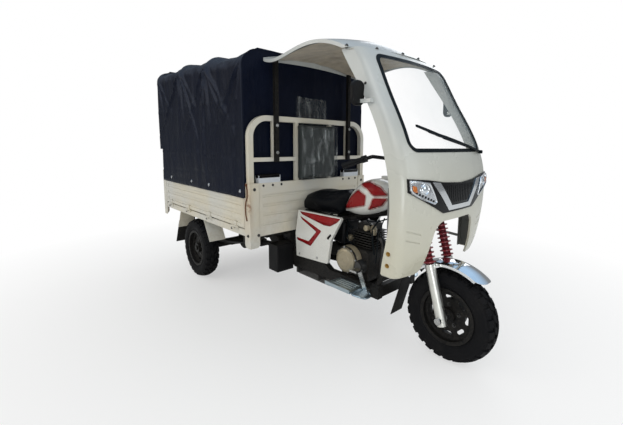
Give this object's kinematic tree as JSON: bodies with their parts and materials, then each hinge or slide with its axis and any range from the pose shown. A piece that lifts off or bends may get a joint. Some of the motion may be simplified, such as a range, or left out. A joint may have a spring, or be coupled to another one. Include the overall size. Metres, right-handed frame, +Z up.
{
  "type": "cargo motor tricycle",
  "caption": "Three-wheeled cargo motorcycle with a moulded front cab, saddle seat, front fork and a canvas-covered load box with drop gates",
  "frame": {"origin": "on the ground, at the middle of the bounding box in length and width", "axes": "+X forward along the vehicle, +Y to the rider's left, +Z up"},
  "size_m": [3.346, 1.26, 2.0417],
  "materials": {
    "cream_paint": "semi-gloss cream paint",
    "cab_shell_paint": "gloss cream gel coat",
    "black_paint": "satin black paint",
    "canvas": "dark navy coated canvas",
    "glass": "clear safety glass",
    "rubber": "black rubber",
    "tyre": "black tyre rubber",
    "chrome": "bright chrome",
    "aluminium": "cast aluminium",
    "clutch_cover": "pale gold-grey cast aluminium",
    "iron": "dark cast iron",
    "steel": "bright steel",
    "red_paint": "gloss crimson paint",
    "tank_paint": "gloss red and white paint",
    "panel_plastic": "gloss white plastic",
    "black_plastic": "grained black plastic",
    "lamp_lens": "clear lamp lens",
    "tail_lens": "red lamp lens",
    "seat_cover": "black vinyl seat cover",
    "mirror_case": "black plastic case"
  },
  "bodies": {
    "vehicle": {"rear_axle": "black_paint", "propeller_shaft": "black_paint", "leaf_springs": "black_paint", "frame_rails": "black_paint", "cross_members": "black_paint", "riding_frame": "black_paint", "roof_posts": "black_paint", "canopy_frame": "black_paint", "plate_bracket": "black_paint", "engine_case": "clutch_cover", "engine_cylinder": "iron", "exhaust": "steel", "foot_boards": "steel", "brake_pedal": "steel", "fuel_tank": "tank_paint", "seat": "seat_cover", "backrest": "seat_cover", "side_panels": "panel_plastic", "battery_box": "black_plastic", "nose_mask": "black_plastic", "cab_liner": "black_plastic", "cab_shell": "cab_shell_paint", "cab_roof": "cab_shell_paint", "windshield_seal": "rubber", "mud_flaps": "rubber", "wiper": "rubber", "windshield": "glass", "headlamps": "lamp_lens", "marker_lamps": "lamp_lens", "grille_strip": "chrome", "mirrors": "mirror_case", "load_floor": "cream_paint", "headboard": "cream_paint", "corner_posts": "cream_paint", "headboard_arch": "cream_paint", "rear_arch": "cream_paint", "mudguards": "cream_paint", "tarp": "canvas", "tail_lamps": "tail_lens"},
    "steering": {"fork_crown": "black_paint", "fork_sliders": "aluminium", "fork_springs": "red_paint", "front_axle": "steel", "front_fender": "chrome", "front_flap": "rubber", "handlebar": "chrome", "hand_controls": "black_plastic"},
    "front_wheel": {"front_tyre": "tyre", "front_rim": "black_paint"},
    "rear_right_wheel": {"rear_right_tyre": "tyre", "rear_right_rim": "black_paint"},
    "rear_left_wheel": {"rear_left_tyre": "tyre", "rear_left_rim": "black_paint"},
    "right_gate": {"gate_right": "cream_paint"},
    "left_gate": {"gate_left": "cream_paint"},
    "tail_gate": {"tailgate": "cream_paint"}
  },
  "joints": [
    {"name": "steer", "type": "hinge", "parent": "vehicle", "child": "steering", "pos_m": [1.35655, 0, 0.26898], "axis": [-0.2756, 0, 0.9613], "range_deg": [-35, 35]},
    {"name": "front_wheel_spin", "type": "hinge", "parent": "steering", "child": "front_wheel", "pos_m": [1.395, 0, 0.28], "axis": [0, 1, 0], "continuous": true},
    {"name": "rear_right_wheel_spin", "type": "hinge", "parent": "vehicle", "child": "rear_right_wheel", "pos_m": [-0.93, -0.5325, 0.28], "axis": [0, 1, 0], "continuous": true},
    {"name": "rear_left_wheel_spin", "type": "hinge", "parent": "vehicle", "child": "rear_left_wheel", "pos_m": [-0.93, 0.5325, 0.28], "axis": [0, 1, 0], "continuous": true},
    {"name": "right_gate_drop", "type": "hinge", "parent": "vehicle", "child": "right_gate", "pos_m": [-0.755, -0.623, 0.657], "axis": [1, 0, 0], "range_deg": [0, 170]},
    {"name": "left_gate_drop", "type": "hinge", "parent": "vehicle", "child": "left_gate", "pos_m": [-0.755, 0.623, 0.657], "axis": [-1, 0, 0], "range_deg": [0, 170]},
    {"name": "tail_gate_drop", "type": "hinge", "parent": "vehicle", "child": "tail_gate", "pos_m": [-1.664, 0, 0.657], "axis": [0, -1, 0], "range_deg": [0, 170]}
  ]
}
